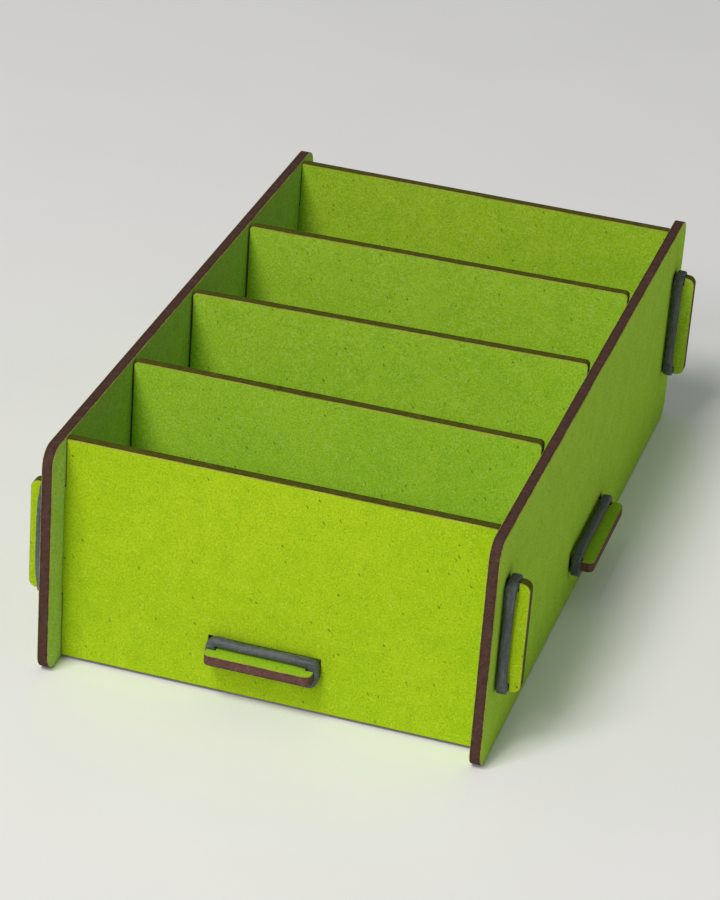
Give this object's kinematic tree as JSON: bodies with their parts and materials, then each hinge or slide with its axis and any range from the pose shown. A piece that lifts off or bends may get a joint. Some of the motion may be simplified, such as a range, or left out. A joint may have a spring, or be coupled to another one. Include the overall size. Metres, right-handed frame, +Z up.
{
  "type": "business card box",
  "caption": "Open-top desk box for business cards: flat sheet panels plugged together by tabs in slots, each tab held by a rubber ring, with lift-out dividers between the card compartments.",
  "frame": {"origin": "middle of the footprint, on the surface the box stands on", "axes": "+X to the right, -Y to the front, +Z up"},
  "size_m": [0.1316, 0.211, 0.065],
  "materials": {
    "green_fibreboard": "lime-green stained fibreboard sheet, matt, with dark brown cut edges",
    "ring_rubber": "dark blue-grey rubber, matt"
  },
  "bodies": {
    "box": {"bottom_panel": "green_fibreboard", "front_panel": "green_fibreboard", "rear_panel": "green_fibreboard", "left_side_panel": "green_fibreboard", "right_side_panel": "green_fibreboard", "front_rubber_ring": "ring_rubber", "rear_rubber_ring": "ring_rubber", "left_rubber_ring": "ring_rubber", "right_rubber_ring": "ring_rubber", "left_front_rubber_ring": "ring_rubber", "left_rear_rubber_ring": "ring_rubber", "right_front_rubber_ring": "ring_rubber", "right_rear_rubber_ring": "ring_rubber"},
    "front_divider": {"front_divider": "green_fibreboard"},
    "middle_divider": {"middle_divider": "green_fibreboard"},
    "rear_divider": {"rear_divider": "green_fibreboard"}
  },
  "joints": [
    {"name": "front_divider_lift", "type": "slide", "parent": "box", "child": "front_divider", "axis": [0, 0, 1], "range_m": [0, 0.06]},
    {"name": "middle_divider_lift", "type": "slide", "parent": "box", "child": "middle_divider", "axis": [0, 0, 1], "range_m": [0, 0.06]},
    {"name": "rear_divider_lift", "type": "slide", "parent": "box", "child": "rear_divider", "axis": [0, 0, 1], "range_m": [0, 0.06]}
  ]
}
